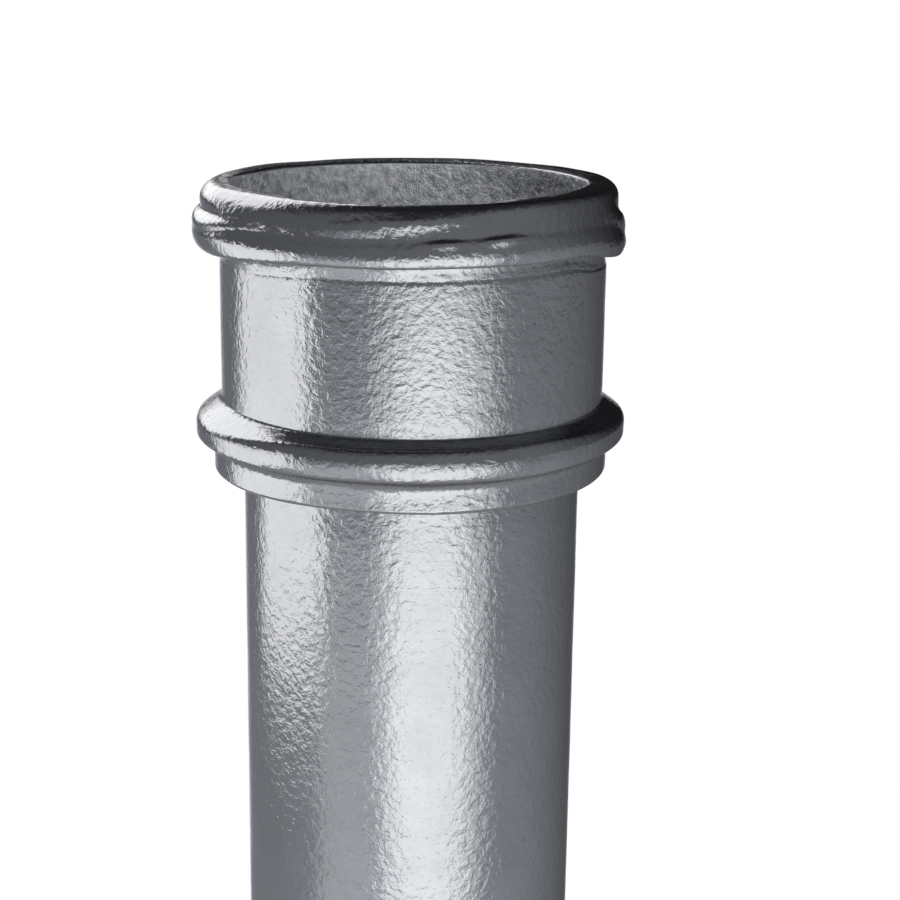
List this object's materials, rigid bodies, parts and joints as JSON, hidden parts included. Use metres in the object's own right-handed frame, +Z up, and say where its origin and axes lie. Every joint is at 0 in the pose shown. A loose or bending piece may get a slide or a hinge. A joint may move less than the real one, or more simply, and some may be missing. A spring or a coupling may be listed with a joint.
{
  "type": "cast iron downpipe",
  "caption": "Round cast iron downpipe without ears: a plain barrel with a moulded socket at the top that takes the spigot of the next pipe.",
  "frame": {"origin": "centre of the spigot end's face, where the pipe stands on the floor", "axes": "+Z up along the pipe's axis, out of the socket's mouth"},
  "size_m": [0.1344, 0.1344, 0.914],
  "materials": {
    "painted_iron": "glossy graphite grey metallic paint over the fine pebbled skin of sand-cast iron"
  },
  "bodies": {
    "root": {"downpipe": "painted_iron"}
  },
  "joints": []
}
